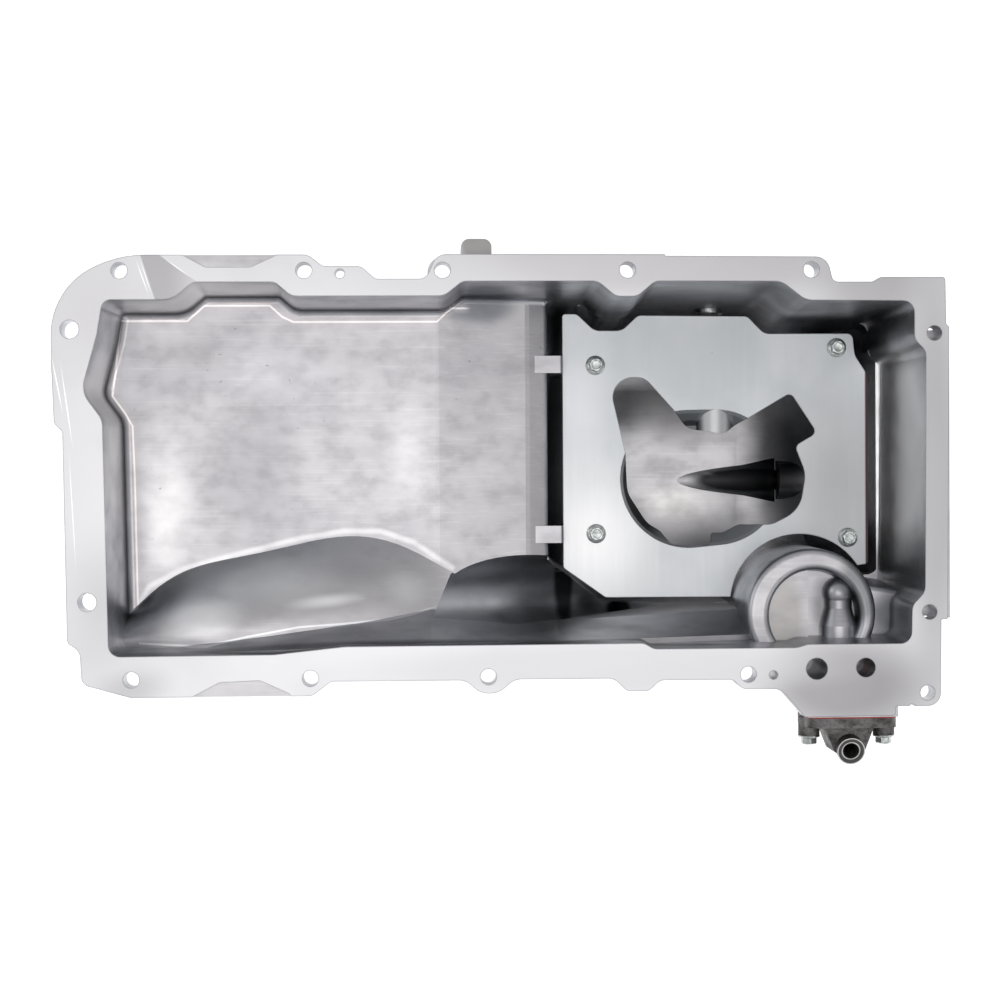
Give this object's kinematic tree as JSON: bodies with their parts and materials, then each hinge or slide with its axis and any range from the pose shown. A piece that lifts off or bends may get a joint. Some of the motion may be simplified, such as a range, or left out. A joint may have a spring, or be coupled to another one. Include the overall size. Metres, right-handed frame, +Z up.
{
  "type": "engine oil pan",
  "caption": "Cast aluminium engine oil pan with a shallow front, a deep rear sump, a bolted baffle plate, an oil filter mount and a side port cover.",
  "frame": {"origin": "under the middle of the pan's bounding box, on the plane of the skid ribs that it stands on", "axes": "+X to the rear, bellhousing end of the engine, +Y to the passenger side, +Z up to the machined rail"},
  "size_m": [0.5438, 0.324, 0.206],
  "materials": {
    "cast_aluminium": "die cast, rail milled bright",
    "cover_casting": "rough casting, dull grey",
    "sheet_steel": "pressed sheet, satin",
    "zinc_screw": "zinc plated",
    "plug_steel": "zinc plated, dull",
    "red_gasket": "red moulded bead",
    "washer_metal": "soft plain washer"
  },
  "bodies": {
    "root": {"pan_casting": "cast_aluminium", "baffle": "sheet_steel", "baffle_bolts": "zinc_screw", "port_cover": "cover_casting", "port_cover_gasket": "red_gasket", "port_cover_bolts": "zinc_screw", "drain_plug": "plug_steel", "drain_plug_washer": "washer_metal", "level_port_plug": "plug_steel", "level_port_washer": "washer_metal", "filter_nipple": "plug_steel"}
  },
  "joints": []
}
